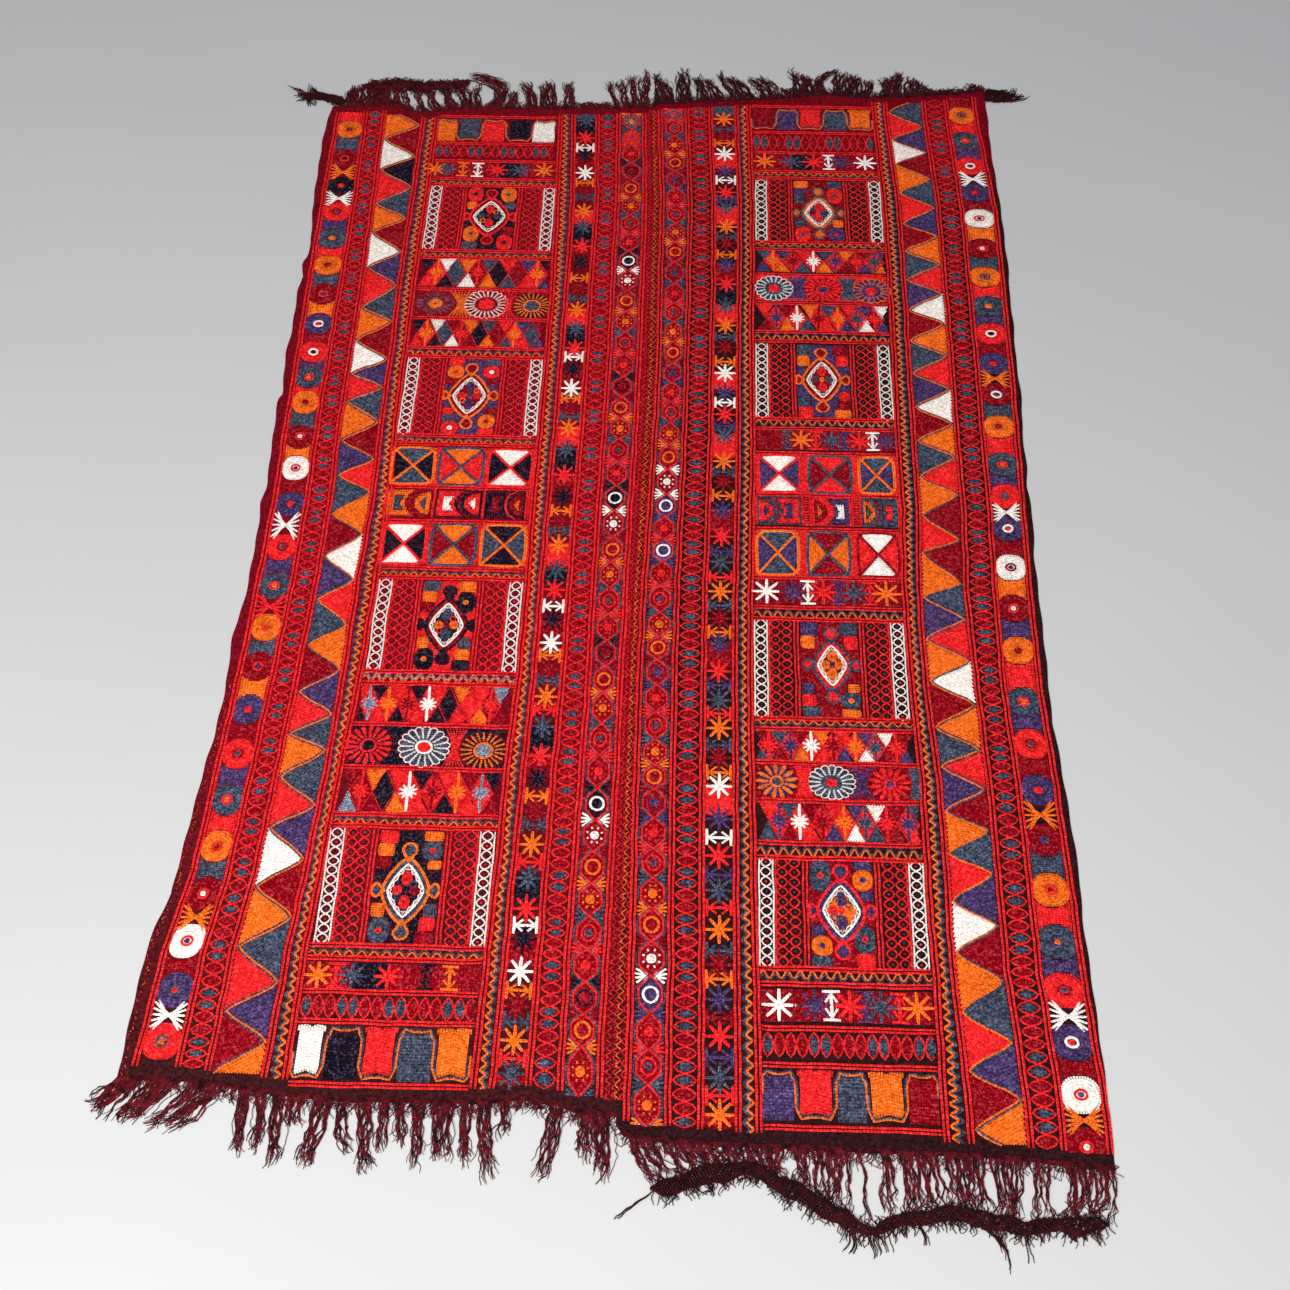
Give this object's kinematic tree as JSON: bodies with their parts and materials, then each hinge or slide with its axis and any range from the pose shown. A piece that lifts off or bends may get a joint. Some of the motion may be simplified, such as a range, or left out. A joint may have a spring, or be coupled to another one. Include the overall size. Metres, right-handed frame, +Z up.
{
  "type": "embroidered wool cover",
  "caption": "Hand-embroidered wool cover of joined loom widths in long vertical motif columns, laid flat, with warp-end fringes, twined headings and corner tails.",
  "frame": {"origin": "middle of the whole outline, fringes and corner tails included, on the floor under the cloth", "axes": "+Y along the warp towards the end with the two corner tails, +X across both loom widths, +Z up off the floor"},
  "size_m": [1.67, 2.7616, 0.009],
  "materials": {
    "embroidered_wool": "matt wool chain stitch over a plain woven ground",
    "warp_yarn": "matt loose wool yarn",
    "twined_yarn": "matt twined and braided wool yarn"
  },
  "bodies": {
    "root": {"panel_left": "embroidered_wool", "panel_right": "embroidered_wool", "fringe_top_left": "warp_yarn", "fringe_top_right": "warp_yarn", "fringe_bottom_left": "warp_yarn", "fringe_bottom_right": "warp_yarn", "heading_top_left": "twined_yarn", "heading_bottom_right": "twined_yarn", "corner_tail_top_left": "twined_yarn", "corner_tail_top_right": "twined_yarn"}
  },
  "joints": []
}
